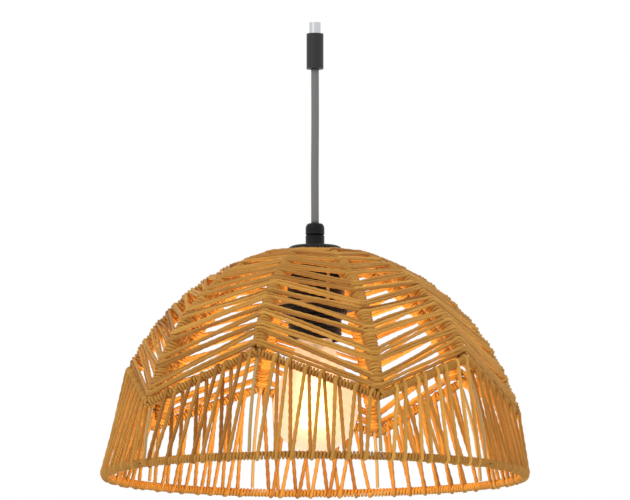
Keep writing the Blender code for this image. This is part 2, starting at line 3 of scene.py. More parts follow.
import bmesh
import bpy
import numpy as np
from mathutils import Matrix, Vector


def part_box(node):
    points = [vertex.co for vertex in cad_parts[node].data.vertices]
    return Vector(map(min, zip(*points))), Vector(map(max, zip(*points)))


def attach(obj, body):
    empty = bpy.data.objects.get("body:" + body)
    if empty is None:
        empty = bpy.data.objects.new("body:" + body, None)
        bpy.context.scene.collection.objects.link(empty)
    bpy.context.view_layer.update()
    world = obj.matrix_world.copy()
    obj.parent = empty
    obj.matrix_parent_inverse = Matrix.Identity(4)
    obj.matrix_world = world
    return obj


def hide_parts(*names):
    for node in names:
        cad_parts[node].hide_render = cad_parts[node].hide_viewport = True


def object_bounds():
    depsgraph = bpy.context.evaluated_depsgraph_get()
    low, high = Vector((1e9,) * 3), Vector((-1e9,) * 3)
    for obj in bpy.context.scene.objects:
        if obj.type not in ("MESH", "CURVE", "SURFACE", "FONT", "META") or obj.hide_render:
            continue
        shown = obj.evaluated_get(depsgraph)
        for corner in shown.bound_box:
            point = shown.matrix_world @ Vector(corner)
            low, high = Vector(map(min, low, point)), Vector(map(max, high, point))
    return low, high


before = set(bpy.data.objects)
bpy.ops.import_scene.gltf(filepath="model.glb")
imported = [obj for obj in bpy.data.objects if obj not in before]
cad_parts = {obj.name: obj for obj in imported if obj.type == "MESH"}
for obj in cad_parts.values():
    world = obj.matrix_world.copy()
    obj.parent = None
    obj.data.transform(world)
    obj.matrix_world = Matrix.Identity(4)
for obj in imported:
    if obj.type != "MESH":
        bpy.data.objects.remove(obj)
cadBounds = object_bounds()
print("frame loaded")

# Camera
cameraValues = {
    "elevation": -6.95,  # degrees at the middle of the lamp, 5.3 at the rim
    "distance": 5.4,
    "frameHeight": 0.352,  # metres seen from top to bottom at the lamp
    "aspect": 630 / 500,
    "sensor": 36.0,
}


def buildCamera(values):
    low, high = cadBounds
    middle = [(low[i] + high[i]) / 2 for i in range(3)]
    tilt = math.radians(values["elevation"])
    data = bpy.data.cameras.new("mainCamera")
    data.sensor_width = values["sensor"]
    data.lens = values["sensor"] * values["distance"] / (values["frameHeight"] * values["aspect"])
    data.clip_end = 50.0
    camera = bpy.data.objects.new("mainCamera", data)
    camera.location = (
        middle[0],
        middle[1] - values["distance"] * math.cos(tilt),
        middle[2] + values["distance"] * math.sin(tilt),
    )
    camera.rotation_euler = (math.pi / 2 - tilt, 0.0, 0.0)
    bpy.context.scene.collection.objects.link(camera)
    bpy.context.scene.camera = camera


buildCamera(cameraValues)
print("camera placed")


# Materials
def linear(code):
    # An sRGB hex colour as the linear colour that a shader takes.
    parts = [int(code[i : i + 2], 16) / 255 for i in (1, 3, 5)]
    return (*[p / 12.92 if p <= 0.04045 else ((p + 0.055) / 1.055) ** 2.4 for p in parts], 1.0)


def addNode(tree, kind, inputs, **settings):
    # inputs gives each socket a value, or the (node, output) that feeds it.
    node = tree.nodes.new(kind)
    for name, value in settings.items():
        setattr(node, name, value)
    for socket, value in inputs.items():
        if isinstance(value, tuple) and isinstance(value[0], bpy.types.Node):
            tree.links.new(value[0].outputs[value[1]], node.inputs[socket])
        else:
            node.inputs[socket].default_value = value
    return node


def newMaterial(name, colour, roughness, metallic=0.0):
    material = bpy.data.materials.new(name)
    material.use_nodes = True
    tree = material.node_tree
    shader = tree.nodes["Principled BSDF"]
    shader.inputs["Base Color"].default_value = linear(colour)
    shader.inputs["Roughness"].default_value = roughness
    shader.inputs["Metallic"].default_value = metallic
    return material, tree, shader


def joinBump(tree, shader, height, strength, distance):
    bump = addNode(
        tree, "ShaderNodeBump", {"Height": height, "Strength": strength, "Distance": distance}
    )
    tree.links.new(bump.outputs["Normal"], shader.inputs["Normal"])


twineLook = {
    "dark": "#965E1E",
    "light": "#DCA44A",
    "roughness": 0.7,
    "foldsRound": 5.0,
    "twistPitch": 0.013,
    "fibreScale": 700.0,
    "blotchScale": 60.0,
    "crinkle": 6.0,  # how far the fibres bend the folds, in radians
    "blotch": 0.5,
    # painted shade and light across the twist's folds, as a share of the colour range
    "foldShade": 0.12,
    "foldDepth": 0.00016,
}


def paperTwine(look):
    # Twisted kraft paper: slanting folds, with painted shade and light along them on top of their bump,
    # and each strand a slightly different brown.
    material, tree, shader = newMaterial("paperTwine", look["light"], look["roughness"])
    shader.inputs["Specular IOR Level"].default_value = 0.3
    spin = addNode(tree, "ShaderNodeUVMap", {}, uv_map="spin")
    parts = addNode(tree, "ShaderNodeSeparateXYZ", {"Vector": (spin, "UV")})
    turns = 2 * math.pi * look["foldsRound"]
    along = addNode(
        tree, "ShaderNodeMath", {0: (parts, "X"), 1: turns / look["twistPitch"]}, operation="MULTIPLY"
    )
    phase = addNode(
        tree,
        "ShaderNodeMath",
        {0: (parts, "Y"), 1: turns, 2: (along, "Value")},
        operation="MULTIPLY_ADD",
    )
    place = addNode(tree, "ShaderNodeTexCoord", {})
    crinkle = addNode(
        tree,
        "ShaderNodeTexNoise",
        {"Vector": (place, "Object"), "Scale": look["fibreScale"], "Detail": 2.0},
    )
    bent = addNode(
        tree,
        "ShaderNodeMath",
        {0: (crinkle, 0), 1: look["crinkle"], 2: (phase, "Value")},
        operation="MULTIPLY_ADD",
    )
    fold = addNode(tree, "ShaderNodeMath", {0: (bent, "Value")}, operation="SINE")
    blotch = addNode(
        tree,
        "ShaderNodeTexNoise",
        {"Vector": (place, "Object"), "Scale": look["blotchScale"], "Detail": 2.0},
    )
    tone = addNode(tree, "ShaderNodeAttribute", {}, attribute_name="tone")
    patchy = addNode(
        tree,
        "ShaderNodeMath",
        {0: (blotch, 0), 1: look["blotch"], 2: (tone, "Fac")},
        operation="MULTIPLY_ADD",
    )
    # Painted shade and light: the folds' sine darkens and lightens the colour across each fold, added to
    # the random blotches and each strand's tone.
    shade = addNode(
        tree,
        "ShaderNodeMath",
        {0: (fold, "Value"), 1: look["foldShade"], 2: (patchy, "Value")},
        operation="MULTIPLY_ADD",
    )
    colour = addNode(
        tree,
        "ShaderNodeMix",
        {0: (shade, "Value"), 6: linear(look["dark"]), 7: linear(look["light"])},
        data_type="RGBA",
    )
    tree.links.new(colour.outputs[2], shader.inputs["Base Color"])
    joinBump(tree, shader, (fold, "Value"), 0.7, look["foldDepth"])
    return material


paintLook = {"colour": "#B0935A", "roughness": 0.42, "orangePeel": 900.0, "depth": 0.00003}


def framePaint(look):
    # Sprayed khaki enamel on steel wire: a soft shine broken by orange peel.
    material, tree, shader = newMaterial("khakiEnamel", look["colour"], look["roughness"])
    place = addNode(tree, "ShaderNodeTexCoord", {})
    peel = addNode(
        tree,
        "ShaderNodeTexNoise",
        {"Vector": (place, "Object"), "Scale": look["orangePeel"], "Detail": 1.0},
    )
    joinBump(tree, shader, (peel, 0), 0.4, look["depth"])
    return material


plasticLook = {
    "colour": "#0C0C0D",
    "low": 0.32,  # roughness from here
    "high": 0.5,  # to here
    "shine": 0.2,
    "grain": 1400.0,
    "depth": 0.00002,
}


def blackPlastic(look):
    # Moulded thermoplastic: near black, with a fine spark-eroded grain that breaks up the shine.
    material, tree, shader = newMaterial("blackThermoplastic", look["colour"], look["high"])
    shader.inputs["Specular IOR Level"].default_value = look["shine"]
    place = addNode(tree, "ShaderNodeTexCoord", {})
    grain = addNode(
        tree,
        "ShaderNodeTexNoise",
        {"Vector": (place, "Object"), "Scale": look["grain"], "Detail": 2.0},
    )
    sheen = addNode(
        tree,
        "ShaderNodeMapRange",
        {"Value": (grain, 0), "To Min": look["low"], "To Max": look["high"]},
    )
    tree.links.new(sheen.outputs["Result"], shader.inputs["Roughness"])
    joinBump(tree, shader, (grain, 0), 0.5, look["depth"])
    return material


powderLook = {"colour": "#121110", "roughness": 0.48, "grain": 1100.0, "depth": 0.00006}


def powderCoat(look):
    # Black powder coat on steel: a pebbled, half-matt skin.
    material, tree, shader = newMaterial("blackPowderCoat", look["colour"], look["roughness"])
    place = addNode(tree, "ShaderNodeTexCoord", {})
    pebble = addNode(
        tree, "ShaderNodeTexVoronoi", {"Vector": (place, "Object"), "Scale": look["grain"]}
    )
    joinBump(tree, shader, (pebble, "Distance"), 0.5, look["depth"])
    return material


cableLook = {"colour": "#6E6D6B", "roughness": 0.5, "smudge": 160.0, "streak": 0.12}


def cableSheath(look):
    # Grey PVC flex: soft shine with faint handling marks.
    material, tree, shader = newMaterial("greyCable", look["colour"], look["roughness"])
    place = addNode(tree, "ShaderNodeTexCoord", {})
    smudge = addNode(
        tree,
        "ShaderNodeTexNoise",
        {"Vector": (place, "Object"), "Scale": look["smudge"], "Detail": 3.0},
    )
    gloss = addNode(
        tree,
        "ShaderNodeMapRange",
        {
            "Value": (smudge, 0),
            "To Min": look["roughness"] - look["streak"],
            "To Max": look["roughness"] + look["streak"],
        },
    )
    tree.links.new(gloss.outputs["Result"], shader.inputs["Roughness"])
    return material


metalLooks = {
    # Bright zinc with a faint blue cast, soft from plating.
    "zincPlate": {"colour": "#C9CBCF", "low": 0.28, "high": 0.45, "scale": 500.0},
    # Rolled brass strip, warm and slightly dulled.
    "brassStrip": {"colour": "#D9B36A", "low": 0.22, "high": 0.38, "scale": 420.0},
    # Nickel plate on a rolled cap: cooler and brighter than the brass.
    "nickelPlate": {"colour": "#D2CDC2", "low": 0.16, "high": 0.30, "scale": 420.0},
    # A solder blob: dull grey skin.
    "solderBlob": {"colour": "#B4B5B8", "low": 0.40, "high": 0.55, "scale": 700.0},
    # Drawn nickel wire in the bulb.
    "leadWire": {"colour": "#BDB8AE", "low": 0.25, "high": 0.35, "scale": 900.0},
}


def metal(name):
    look = metalLooks[name]
    material, tree, shader = newMaterial(name, look["colour"], look["high"], metallic=1.0)
    place = addNode(tree, "ShaderNodeTexCoord", {})
    haze = addNode(
        tree,
        "ShaderNodeTexNoise",
        {"Vector": (place, "Object"), "Scale": look["scale"], "Detail": 2.0},
    )
    gloss = addNode(
        tree,
        "ShaderNodeMapRange",
        {"Value": (haze, 0), "To Min": look["low"], "To Max": look["high"]},
    )
    tree.links.new(gloss.outputs["Result"], shader.inputs["Roughness"])
    return material


steatiteLook = {"colour": "#E4DED0", "roughness": 0.35, "speck": 900.0, "depth": 0.00002}


def steatiteCeramic(look):
    # Pressed steatite: cream, with the bite of fine pressed grain.
    material, tree, shader = newMaterial("steatite", look["colour"], look["roughness"])
    place = addNode(tree, "ShaderNodeTexCoord", {})
    speck = addNode(
        tree, "ShaderNodeTexNoise", {"Vector": (place, "Object"), "Scale": look["speck"]}
    )
    joinBump(tree, shader, (speck, 0), 0.5, look["depth"])
    return material


vitriteLook = {"colour": "#15171C", "roughness": 0.12}


def vitriteGlass(look):
    # The black glass that insulates the cap's tip: smooth and shiny.
    return newMaterial("blackVitrite", look["colour"], look["roughness"])[0]


glassLook = {"colour": "#FFF6EA", "roughness": 0.36, "ior": 1.5, "glow": "#FFD0A0", "strength": 0.12}


def frostedGlass(look):
    # Etched bulb glass: it blurs the lit filament into a soft hot centre and glows a little itself.
    material, _, shader = newMaterial("frostedGlass", look["colour"], look["roughness"])
    shader.inputs["Transmission Weight"].default_value = 1.0
    shader.inputs["IOR"].default_value = look["ior"]
    shader.inputs["Emission Color"].default_value = linear(look["glow"])
    shader.inputs["Emission Strength"].default_value = look["strength"]
    return material


stemLook = {"colour": "#F4F8F4", "roughness": 0.03, "ior": 1.5}


def clearGlass(look):
    # The pinched glass stem inside the bulb: clear and wet-looking.
    material, _, shader = newMaterial("clearGlass", look["colour"], look["roughness"])
    shader.inputs["Transmission Weight"].default_value = 1.0
    shader.inputs["IOR"].default_value = look["ior"]
    return material


filamentLook = {"colour": "#F2B04A", "glow": "#FFC078", "strength": 12.0}


def litPhosphor(look):
    # Yellow silicone phosphor over the diodes, lit warm white.
    material, _, shader = newMaterial("filamentPhosphor", look["colour"], 0.6)
    shader.inputs["Emission Color"].default_value = linear(look["glow"])
    shader.inputs["Emission Strength"].default_value = look["strength"]
    return material


twine = paperTwine(twineLook)
paint = framePaint(paintLook)
plastic = blackPlastic(plasticLook)
powder = powderCoat(powderLook)
cable = cableSheath(cableLook)
zinc, brass, nickel, solder, lead = [metal(name) for name in metalLooks]
ceramic = steatiteCeramic(steatiteLook)
vitrite = vitriteGlass(vitriteLook)
frosted = frostedGlass(glassLook)
stemGlass = clearGlass(stemLook)
phosphor = litPhosphor(filamentLook)
print("materials made")


# Shared shapes
sharpAngle = math.radians(38)


def addPiece(name, mesh, material, body, replaced=()):
    mesh.materials.append(material)
    piece = bpy.data.objects.new(name, mesh)
    bpy.context.scene.collection.objects.link(piece)
    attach(piece, body)
    if replaced:
        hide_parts(*replaced)
    return piece


def resample(path, step):
    # Points at even spacing along a path of straight runs, with both ends kept.
    path = np.asarray(path, float)
    legs = np.linalg.norm(np.diff(path, axis=0), axis=1)
    reach = np.concatenate(([0.0], np.cumsum(legs)))
    count = max(3, int(round(reach[-1] / step)) + 1)
    marks = np.linspace(0.0, reach[-1], count)
    return np.stack([np.interp(marks, reach, path[:, i]) for i in range(3)], axis=1)


def carriedSides(centre):
    # Two directions across a path at each point, carried along it without twisting.
    forward = np.gradient(centre, axis=0)
    forward /= np.linalg.norm(forward, axis=1)[:, None]
    side = Vector(forward[0]).orthogonal().normalized()
    across = np.empty_like(centre)
    for i in range(len(centre)):
        ahead = Vector(forward[i])
        side = (side - ahead * side.dot(ahead)).normalized()
        across[i] = side
    return across, np.cross(forward, across)


def meshFromArrays(name, places, corners, sizes):
    mesh = bpy.data.meshes.new(name)
    mesh.vertices.add(len(places))
    mesh.vertices.foreach_set("co", places.ravel())
    mesh.loops.add(len(corners))
    mesh.loops.foreach_set("vertex_index", corners.astype(np.int32))
    mesh.polygons.add(len(sizes))
    starts = np.concatenate(([0], np.cumsum(sizes)[:-1]))
    mesh.polygons.foreach_set("loop_start", starts.astype(np.int32))
    mesh.polygons.foreach_set("loop_total", sizes.astype(np.int32))
    mesh.update(calc_edges=True)
    return mesh


def strandMesh(name, paths, values, stripSegments, seed):
    # Twisted strands along the paths, as closed tubes whose lobes turn as they go.
    # The map OFBake unrolls each tube in strips of stripSegments. The map spin holds metres
    # along the strand and turns round it, for the folds.
    chance = np.random.default_rng(seed)
    sides = values["sides"]
    angles = np.arange(sides) * 2 * math.pi / sides
    places, loops, sizes, bake, spin, tones = [], [], [], [], [], []
    strips = 0
    base = 0
    for path in paths:
        centre = resample(path, values["step"])
        count = len(centre)
        across, up = carriedSides(centre)
        start = chance.uniform(0.0, 2 * math.pi)
        run = np.arange(count) * values["step"]
        lobe = start + run * 2 * math.pi / values["twist"]
        size = values["radius"] * (
            1.0 + values["lobe"] * np.cos(2 * (angles[None, :] - lobe[:, None]))
        )
        size = size * (1.0 + values["uneven"] * chance.normal(size=count))[:, None]
        ring = (
            centre[:, None, :]
            + size[:, :, None]
            * (
                np.cos(angles)[None, :, None] * across[:, None, :]
                + np.sin(angles)[None, :, None] * up[:, None, :]
            )
        )
        places.append(ring.reshape(-1, 3))
        i, k = np.meshgrid(np.arange(count - 1), np.arange(sides), indexing="ij")
        i, k = i.ravel(), k.ravel()
        after = (k + 1) % sides
        quads = np.stack(
            [i * sides + k, i * sides + after, (i + 1) * sides + after, (i + 1) * sides + k], axis=1
        )
        loops.append((quads + base).ravel())
        sizes.append(np.full(len(quads), 4))
        strip = strips + i // stripSegments
        strips += 1 + (count - 2) // stripSegments
        left = (i % stripSegments) / stripSegments
        right = left + 1.0 / stripSegments
        low, high = k / sides, (k + 1) / sides
        unrolled = np.stack([left, low, left, high, right, high, right, low], axis=1).reshape(-1, 2)
        bake.append(np.concatenate([unrolled, np.repeat(strip, 4)[:, None]], axis=1))
        offset = chance.uniform(0.0, 1.0)
        here, there = offset + i * values["step"], offset + (i + 1) * values["step"]
        spin.append(np.stack([here, low, here, high, there, high, there, low], axis=1).reshape(-1, 2))
        for end, order in ((0, np.arange(sides)[::-1]), ((count - 1) * sides, np.arange(sides))):
            loops.append(base + end + order)
            sizes.append(np.array([sides]))
            corner = np.stack([0.5 + 0.4 * np.cos(angles), 0.5 + 0.4 * np.sin(angles)], axis=1)[order]
            row = np.full((sides, 1), strip[-1] if end else strip[0])
            tiny = corner * np.array([[0.2 / stripSegments, 0.2]])
            bake.append(np.concatenate([tiny, row], axis=1))
            spin.append(corner * 0.002 + offset)
        tones.append(np.full(count * sides, chance.normal(values["tone"], values["toneSpread"])))
        base += count * sides
    mesh = meshFromArrays(name, np.concatenate(places), np.concatenate(loops), np.concatenate(sizes))
    bake = np.concatenate(bake)
    bake[:, 1] = (bake[:, 2] + 0.04 + 0.92 * bake[:, 1]) / strips
    mesh.uv_layers.new(name="OFBake").data.foreach_set("uv", bake[:, :2].astype(np.float32).ravel())
    mesh.uv_layers.new(name="spin").data.foreach_set(
        "uv", np.concatenate(spin).astype(np.float32).ravel()
    )
    tone = mesh.attributes.new("tone", "FLOAT", "POINT")
    tone.data.foreach_set("value", np.concatenate(tones).astype(np.float32))
    mesh.shade_smooth()
    return mesh


def addTwine(name, paths, values, stripSegments, seed, replaced=()):
    mesh = strandMesh(name, paths, values, stripSegments, seed)
    addPiece(name, mesh, twine, "shade", replaced)


def turnedMesh(name, profile, steps, relief=None, closed=True):
    # A profile of (radius, height, share of the relief) turned about the upright axis.
    profile = np.array([(*point, 0.0)[:3] for point in profile])
    azimuth = np.arange(steps) * 2 * math.pi / steps
    radius = np.repeat(profile[:, :1], steps, axis=1)
    if relief:
        radius = radius + profile[:, 2:] * relief(azimuth[None, :], profile[:, 1:2])
    height = np.repeat(profile[:, 1:2], steps, axis=1)
    places = np.stack([radius * np.sin(azimuth), -radius * np.cos(azimuth), height], axis=2)
    rows = len(profile)
    faces = []
    for i in range(rows if closed else rows - 1):
        for k in range(steps):
            here, there = i * steps, (i + 1) % rows * steps
            after = (k + 1) % steps
            faces.append((here + k, there + k, there + after, here + after))
    mesh = bpy.data.meshes.new(name)
    shape = bmesh.new()
    mesh.from_pydata(places.reshape(-1, 3), [], faces)
    shape.from_mesh(mesh)
    bmesh.ops.remove_doubles(shape, verts=shape.verts, dist=1e-6)
    bmesh.ops.recalc_face_normals(shape, faces=shape.faces)
    shape.to_mesh(mesh)
    shape.free()
    mesh.shade_smooth()
    mesh.set_sharp_from_angle(angle=sharpAngle)
    return mesh


def addTurned(name, profile, steps, material, body, node, relief=None):
    addPiece(name, turnedMesh(name, profile, steps, relief), material, body, [node])


def barLoop(centre, first, second, radius, start, sweep, drift, count=9):
    # Points round a bar: first and second span the circle, and drift shifts the far end along it.
    turn = start + np.linspace(0.0, sweep, count)[:, None]
    share = np.linspace(0.0, 1.0, count)[:, None]
    return centre + radius * (np.cos(turn) * first + np.sin(turn) * second) + share * drift


smoothTube = {"twist": 1.0, "lobe": 0.0, "uneven": 0.0, "tone": 0.5, "toneSpread": 0.0}

# Pendant cord
cordValues = {
    **smoothTube,
    "diameter": 0.0055,
    "length": 0.110,
    "sway": 0.00012,
    "radius": 0.00275,
    "sides": 24,
    "step": 0.0025,
    "uneven": 0.002,
}


def buildPendantCord(values):
    low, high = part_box("pendant_cord")
    share = np.linspace(0.0, 1.0, 45)
    sway = values["sway"] * np.sin(2 * math.pi * share) * np.sin(math.pi * share)
    path = np.stack([sway, -0.6 * sway, high[2] + (low[2] - high[2]) * share], axis=1)
    mesh = strandMesh("pendantCord", [path], values, 60, 50)
    cord = addPiece("pendantCord", mesh, cable, "cord", ["pendant_cord"])


buildPendantCord(cordValues)
print("pendant cord built")

# Shade outline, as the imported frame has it
shadeValues = {
    "radius": 0.150,
    "crown": 0.162,
    "heightPower": 1.85,
    "radiusPower": 2.15,
    "ribInset": 0.00405,  # of a rib's centre line inside the outline
    "ribs": 10,
    "firstRib": 18.0,
    "peak": 0.077,
    "valley": 0.045,
    "zigzagOut": 0.002944,  # of the zigzag wire outside the ribs' centre lines
}
halfPanel = math.pi / shadeValues["ribs"]


def ringSize(node):
    # A bound ring's radius to the middle of its wire, and that wire's height.
    low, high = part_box(node)
    thickness = high[2] - low[2]
    return high[0] - thickness / 2, (low[2] + high[2]) / 2


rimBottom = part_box("rim_ring")[0][2]
rimRadius, rimHeight = ringSize("rim_ring")
topRadius, topHeight = ringSize("top_ring")


def around(radius, azimuth, height):
    return np.array((radius * math.sin(azimuth), -radius * math.cos(azimuth), height))


def domeAt(slope, inset=0.0):
    # (radius, height above the rim, the outline's outward normal as radial and upward parts)
    size = shadeValues
    radius = size["radius"] * math.cos(slope) ** (2 / size["radiusPower"])
    height = size["crown"] * math.sin(slope) ** (2 / size["heightPower"])
    out = size["radiusPower"] * (radius / size["radius"]) ** (size["radiusPower"] - 1)
    up = size["heightPower"] * (height / size["crown"]) ** (size["heightPower"] - 1)
    out, up = out / size["radius"], up / size["crown"]
    length = math.hypot(out, up)
    out, up = out / length, up / length
    return radius - inset * out, height - inset * up, out, up


def slopeWhere(wanted, index, inset=0.0):
    low, high = 0.001, math.pi / 2 - 0.001
    for _ in range(40):
        middle = (low + high) / 2
        value = domeAt(middle, inset)[index]
        below = value > wanted if index == 0 else value < wanted
        low, high = (middle, high) if below else (low, middle)
    return (low + high) / 2


def ribAzimuth(number):
    return math.radians(shadeValues["firstRib"]) + number * 2 * halfPanel


def ribFrame(number, slope):
    # A rib's centre, outward normal, sideways and upward directions at one slope.
    azimuth = ribAzimuth(number)
    radius, height, out, up = domeAt(slope, shadeValues["ribInset"])
    centre = around(radius, azimuth, rimBottom + height)
    normal = around(out, azimuth, up)
    sideways = np.array((math.cos(azimuth), math.sin(azimuth), 0.0))
    upward = around(-up, azimuth, out)
    return centre, normal, sideways, upward


def zigzagHeight(number):
    return shadeValues["valley"] if number % 2 == 0 else shadeValues["peak"]


def zigzagVertex(number):
    height = zigzagHeight(number)
    inset = shadeValues["ribInset"] - shadeValues["zigzagOut"]
    radius, up = domeAt(slopeWhere(height, 1), inset)[:2]
    return around(radius, ribAzimuth(number), rimBottom + up)


# Twine, as every weave and binding has it
twineValues = {
    "sides": 8,
    "twist": 0.013,
    "lobe": 0.10,
    "uneven": 0.02,
    "tone": 0.25,
    "toneSpread": 0.18,
}

# Upper weave: rows of twine from rib to rib, each end wound round its rib
upperValues = {
    **twineValues,
    "groups": [3, 3, 2, 3] + [2] * 11,  # rows that lie together
    "radius": 0.00118,
    "step": 0.0016,
    "close": 0.00225,  # spacing of rows that lie together
    "wedge": 0.45,  # how much a gap between groups widens on one rib and narrows on the next
    "jitter": 0.00025,
    "wrapIn": 0.0044,
    "wrapOut": 0.0049,
    "wrapTurn": 250.0,
    "wrapDrift": 0.0013,
    "waver": 0.0006,
    "bottomClear": 0.0052,
    "topRadius": 0.0372,
}


def ribMarks(number, values):
    # The slopes at which a rib's rows cross it, from the top down. Both its panels share them.
    number %= shadeValues["ribs"]
    chance = np.random.default_rng(60 + number)
    top = slopeWhere(values["topRadius"], 0)
    bottom = slopeWhere(zigzagHeight(number) + values["bottomClear"], 1)
    slopes = np.linspace(top, bottom, 300)
    line = np.array([domeAt(slope)[:2] for slope in slopes])
    reach = np.concatenate(([0.0], np.cumsum(np.linalg.norm(np.diff(line, axis=0), axis=1))))
    rows, gaps = sum(values["groups"]), len(values["groups"]) - 1
    wide = (reach[-1] - (rows - 1 - gaps) * values["close"]) / gaps
    steps = []
    for group, size in enumerate(values["groups"]):
        steps.extend([values["close"]] * (size - 1))
        side = 1.0 if (group + number) % 2 == 0 else -1.0
        steps.append(wide * (1.0 + side * values["wedge"]))
    marks = np.concatenate(([0.0], np.cumsum(steps[:-1])))
    marks = marks * reach[-1] / marks[-1] + chance.normal(size=rows) * values["jitter"]
    return np.interp(marks, reach, slopes)


def upperRows(number, values, chance):
    after = number + 1
    sweep = math.radians(values["wrapTurn"])
    paths = []
    for startSlope, endSlope in zip(ribMarks(number, values), ribMarks(after, values)):
        startC, startN, startA, startU = ribFrame(number, startSlope)
        endC, endN, endA, endU = ribFrame(after, endSlope)
        chord = endC - startC
        leave = math.atan2(-chord @ startN, chord @ startA)
        arrive = math.atan2(-chord @ endN, chord @ endA)
        drift = values["wrapDrift"]
        first = barLoop(startC, startN, startA, values["wrapOut"], leave, -sweep, startU * drift)[::-1]
        last = barLoop(endC, endN, endA, values["wrapIn"], arrive, sweep, -endU * drift)
        share = np.linspace(0.0, 1.0, 9)[1:-1, None]
        line = first[-1] + (last[0] - first[-1]) * share
        bow = np.sin(math.pi * share) * chance.normal()
        bow += 0.5 * np.sin(2 * math.pi * share) * chance.normal()
        line = line + bow * values["waver"] * (startU + endU) / 2
        paths.append(np.concatenate((first, line, last)))
    return paths


def buildUpperWeave(values):
    for number in range(shadeValues["ribs"]):
        paths = upperRows(number, values, np.random.default_rng(100 + number))
        node = f"upper_weave_{number + 1:02d}"
        addTwine(f"upperTwine{number + 1:02d}", paths, values, 70, 200 + number, [node])


buildUpperWeave(upperValues)
print("upper weave built")

# Lower weave: twine laced to and fro between the zigzag wire and the rim
lowerValues = {
    **twineValues,
    "bights": [7, 4],  # in a panel that falls to the right, and in one that rises
    "leads": [[0.25], [0.12, 0.5]],  # where each lace sets off, as a share of a bight
    "wander": 0.0009,
    "loopDrift": 0.002,
    "radius": 0.00135,
    "step": 0.0016,
    "zigzagLoop": 0.0029,
    "rimLoop": 0.0027,
    "edge": 0.0035,
}


def lowerLaces(number, values, chance):
    startZ, endZ = zigzagVertex(number), zigzagVertex(number + 1)
    wireLine = endZ - startZ
    wireLength = np.linalg.norm(wireLine)
    wireWay = wireLine / wireLength
    middle = ribAzimuth(number) + halfPanel
    outward = around(1.0, middle, 0.0)
    outward = outward - wireWay * (outward @ wireWay)
    outward /= np.linalg.norm(outward)
    upward = np.cross(outward, wireWay)
    upward = upward if upward[2] > 0 else -upward
    edge = values["edge"] / wireLength
    upright = np.array((0.0, 0.0, 1.0))
    kind = 0 if startZ[2] > endZ[2] else 1
    bights = values["bights"][kind]
    span = (1 - 2 * edge) / bights
    paths = []
    for lead in values["leads"][kind]:
        path = []
        for bight in range(bights):
            share = edge + span * (bight + lead)
            azimuth = ribAzimuth(number) + share * 2 * halfPanel
            azimuth += chance.normal() * values["wander"] / rimRadius
            foot = around(rimRadius, azimuth, rimHeight)
            radial = around(1.0, azimuth, 0.0)
            onward = values["loopDrift"] * np.array((math.cos(azimuth), math.sin(azimuth), 0.0))
            path.append(barLoop(foot, radial, upright, values["rimLoop"], -math.pi, math.pi, onward, 7))
            slip = chance.normal() * values["wander"]
            top = startZ + wireLine * (share + 0.5 * span) + wireWay * slip
            onward = values["loopDrift"] * wireWay
            path.append(barLoop(top, outward, upward, values["zigzagLoop"], 0.0, math.pi, onward, 7))
        paths.append(np.concatenate(path))
    return paths


def buildLowerWeave(values):
    for number in range(shadeValues["ribs"]):
        paths = lowerLaces(number, values, np.random.default_rng(300 + number))
        node = f"lower_weave_{number + 1:02d}"
        addTwine(f"lowerTwine{number + 1:02d}", paths, values, 90, 400 + number, [node])


buildLowerWeave(lowerValues)
print("lower weave built")

# Bound wires: the rim, the top ring and the zigzag, each wound close with the same twine
bindingValues = {
    **twineValues,
    "radius": 0.00105,
    "step": 0.0013,
    "lobe": 0.08,
    "uneven": 0.015,
    "tone": 0.22,
    "toneSpread": 0.10,
    "pitch": 0.0025,
    "rimCoil": 0.0021,
    "topCoil": 0.0020,
    "zigzagCoil": 0.0022,
}


def ringCoil(radius, height, coil, pitch, start, sweep=2 * halfPanel):
    turns = sweep * radius / pitch
    share = np.linspace(0.0, 1.0, max(12, int(turns * 12)))
    azimuth = start + sweep * share
    turn = 2 * math.pi * turns * share
    reach = radius + coil * np.cos(turn)
    return np.stack(
        [reach * np.sin(azimuth), -reach * np.cos(azimuth), height + coil * np.sin(turn)], axis=1
    )


def barCoil(start, end, coil, pitch):
    line = end - start
    length = np.linalg.norm(line)
    way = line / length
    first = np.cross(way, (0.0, 0.0, 1.0))
    first /= np.linalg.norm(first)
    second = np.cross(way, first)
    share = np.linspace(0.0, 1.0, max(12, int(length / pitch * 12)))[:, None]
    turn = 2 * math.pi * length / pitch * share
    return start + line * share + coil * (np.cos(turn) * first + np.sin(turn) * second)


def buildBindings(values):
    rim = [
        ringCoil(rimRadius, rimHeight, values["rimCoil"], values["pitch"], ribAzimuth(number))
        for number in range(shadeValues["ribs"])
    ]
    addTwine("rimBinding", rim, values, 60, 500, ["rim_ring"])
    top = [ringCoil(topRadius, topHeight, values["topCoil"], values["pitch"], 0.0, 2 * math.pi)]
    addTwine("topBinding", top, values, 60, 501, ["top_ring"])
    wire = [
        barCoil(zigzagVertex(number), zigzagVertex(number + 1), values["zigzagCoil"], values["pitch"])
        for number in range(shadeValues["ribs"])
    ]
    addTwine("zigzagBinding", wire, values, 60, 502, ["zigzag_wire"])


ribBindingValues = {
    **twineValues,
    "radius": 0.0012,
    "step": 0.0015,
    "toneSpread": 0.10,
    "pitch": 0.0025,
    "coil": 0.0040,
    "footAbove": 0.0035,  # above the zigzag wire
    "headRadius": 0.0375,
}


def ribCoil(number, values):
    low = slopeWhere(zigzagHeight(number) + values["footAbove"], 1)
    high = slopeWhere(values["headRadius"], 0)
    line = np.array([ribFrame(number, slope)[:3] for slope in np.linspace(low, high, 60)])
    reach = np.concatenate(([0.0], np.cumsum(np.linalg.norm(np.diff(line[:, 0], axis=0), axis=1))))
    marks = np.linspace(0.0, reach[-1], int(reach[-1] / values["pitch"] * 12))
    centre, out, side = [
        np.stack([np.interp(marks, reach, line[:, kind, i]) for i in range(3)], axis=1)
        for kind in range(3)
    ]
    turn = (2 * math.pi * marks / values["pitch"])[:, None]
    return centre + values["coil"] * (np.cos(turn) * out + np.sin(turn) * side)


